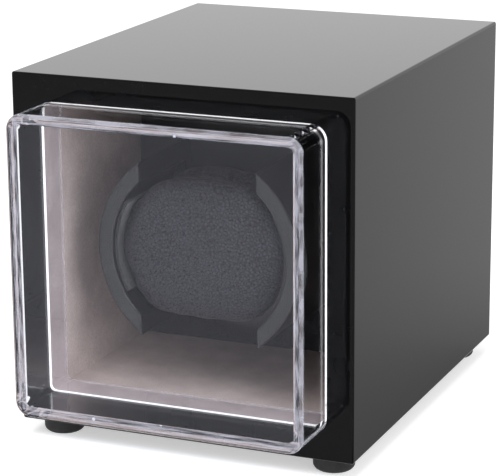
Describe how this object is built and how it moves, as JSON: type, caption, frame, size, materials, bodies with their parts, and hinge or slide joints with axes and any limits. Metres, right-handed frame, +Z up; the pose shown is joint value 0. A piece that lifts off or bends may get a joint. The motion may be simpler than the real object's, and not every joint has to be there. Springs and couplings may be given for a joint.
{
  "type": "watch winder box",
  "caption": "Lacquered box with a clear pull-off front cover, velvet chamber and a motor-driven turning cradle that holds a watch on a soft pillow.",
  "frame": {"origin": "on the standing surface, under the middle of the whole object's box", "axes": "+X to the right seen from the front, +Y to the back, +Z up; the cover faces -Y"},
  "size_m": [0.112, 0.157, 0.1175],
  "materials": {
    "piano_lacquer": "black high-gloss lacquer on fibreboard",
    "rubber_feet": "matt moulded rubber",
    "zinc_screws": "bright zinc plate",
    "black_screws": "black oxide",
    "taupe_velvet": "short pile velvet",
    "charcoal_velvet": "short pile velvet",
    "clear_acrylic": "clear polished acrylic",
    "satin_abs": "satin moulded ABS",
    "black_felt": "pressed felt",
    "grained_leather": "grained leather cloth over foam",
    "ground_steel": "ground steel",
    "fibre_washer": "pressed fibre",
    "sintered_bronze": "sintered bronze",
    "raw_board": "raw fibreboard",
    "nylon_gears": "moulded nylon",
    "brass": "turned brass",
    "steel_plate": "plated sheet steel",
    "black_plastic": "moulded plastic",
    "lead_insulation": "soft insulation",
    "circuit_laminate": "green solder mask",
    "capacitor_sleeve": "shrink sleeve"
  },
  "bodies": {
    "case": {"front_frame": "piano_lacquer", "bottom_board": "piano_lacquer", "right_board": "piano_lacquer", "top_board": "piano_lacquer", "left_board": "piano_lacquer", "foot_front_left": "rubber_feet", "foot_front_right": "rubber_feet", "foot_rear_left": "rubber_feet", "foot_rear_right": "rubber_feet", "foot_screws": "zinc_screws", "lining_collar": "taupe_velvet", "lining_bottom": "taupe_velvet", "lining_top": "taupe_velvet", "lining_left": "taupe_velvet", "lining_right": "taupe_velvet", "lining_back": "charcoal_velvet", "front_bush": "sintered_bronze", "rear_bush": "sintered_bronze", "bulkhead": "raw_board", "idler_pin": "ground_steel", "gear_plate": "steel_plate", "plate_posts": "brass", "plate_screws": "zinc_screws", "motor_can": "steel_plate", "motor_end_cap": "black_plastic", "motor_terminals": "brass", "motor_leads": "lead_insulation", "motor_screws": "zinc_screws", "circuit_board": "circuit_laminate", "driver_chip": "black_plastic", "capacitor": "capacitor_sleeve", "board_screws": "zinc_screws", "dc_jack": "black_plastic", "jack_pin": "brass", "mode_switch": "black_plastic", "rear_cover": "satin_abs", "corner_block_lower_left": "raw_board", "corner_block_lower_right": "raw_board", "corner_block_upper_left": "raw_board", "corner_block_upper_right": "raw_board", "rear_screws": "black_screws"},
    "cover": {"acrylic_cover": "clear_acrylic"},
    "rotor": {"rotor_cradle": "satin_abs", "grip_pad_left": "black_felt", "grip_pad_right": "black_felt", "rotor_hub": "satin_abs", "hub_screws": "zinc_screws", "hub_grub_screw": "black_screws", "drive_shaft": "ground_steel", "thrust_washer": "fibre_washer", "shaft_clip": "ground_steel", "output_gear": "nylon_gears", "gear_grub_screw": "black_screws"},
    "pillow": {"pillow_cushion": "grained_leather", "pillow_base": "satin_abs"},
    "idler": {"idler_gear": "nylon_gears"},
    "motor_rotor": {"motor_shaft": "ground_steel", "motor_pinion": "brass"},
    "knob": {"mode_knob": "black_plastic"}
  },
  "joints": [
    {"name": "cover_pull", "type": "slide", "parent": "case", "child": "cover", "axis": [0, -1, 0], "range_m": [0, 0.1]},
    {"name": "rotor_spin", "type": "hinge", "parent": "case", "child": "rotor", "pos_m": [0, 0.014, 0.0615], "axis": [0, 1, 0], "continuous": true},
    {"name": "pillow_pull", "type": "slide", "parent": "rotor", "child": "pillow", "axis": [0, -1, 0], "range_m": [0, 0.026]},
    {"name": "idler_spin", "type": "hinge", "parent": "case", "child": "idler", "pos_m": [0.02043, 0.027, 0.04106], "axis": [0, 1, 0], "continuous": true},
    {"name": "motor_spin", "type": "hinge", "parent": "case", "child": "motor_rotor", "pos_m": [-0.00366, 0.036, 0.04106], "axis": [0, 1, 0], "continuous": true},
    {"name": "mode_turn", "type": "hinge", "parent": "case", "child": "knob", "pos_m": [0.018, 0.0685, 0.0875], "axis": [0, 1, 0], "range_deg": [0, 120]}
  ],
  "couplings": [
    {"joint": "idler_spin", "follows": "rotor_spin", "ratio": -5},
    {"joint": "motor_spin", "follows": "rotor_spin", "ratio": 20}
  ]
}
